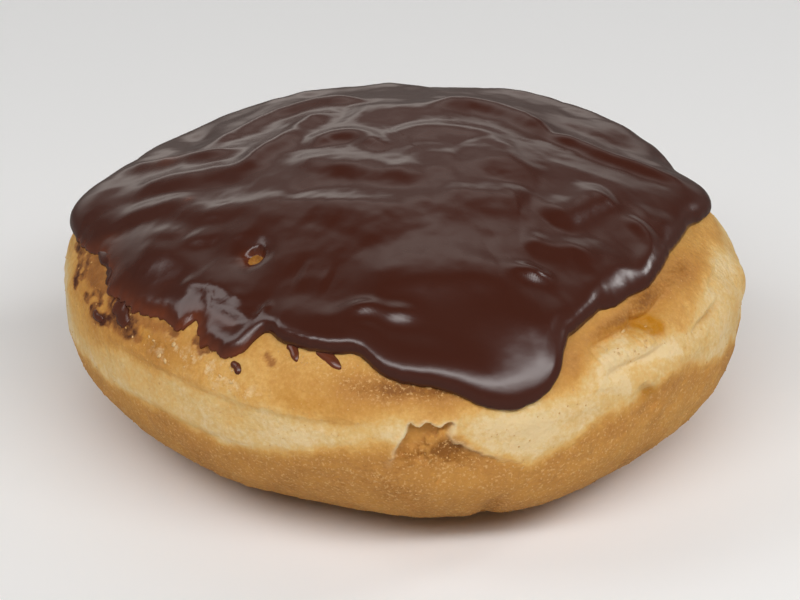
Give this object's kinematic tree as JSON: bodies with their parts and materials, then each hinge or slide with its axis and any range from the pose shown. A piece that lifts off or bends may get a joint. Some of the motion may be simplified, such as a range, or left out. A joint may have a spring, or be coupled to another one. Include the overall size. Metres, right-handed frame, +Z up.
{
  "type": "boston cream doughnut",
  "caption": "Uncut filled yeast doughnut: a round fried dough cushion with a pale belt, its crown covered by wavy chocolate icing that runs down over the edge in lobes.",
  "frame": {"origin": "on the table, under the middle of the doughnut's box", "axes": "+Z up, the front with the lowest lobe of icing towards -Y, +X to its right"},
  "size_m": [0.094, 0.093, 0.0413],
  "materials": {
    "fried_dough": "fried yeast dough: golden crust above and below, a pale belt between, matte with a faint oily sheen",
    "chocolate_icing": "set chocolate icing: dark brown, satin gloss, reddish brown where it thins to a film"
  },
  "bodies": {
    "root": {"dough": "fried_dough", "chocolate_icing": "chocolate_icing"}
  },
  "joints": []
}
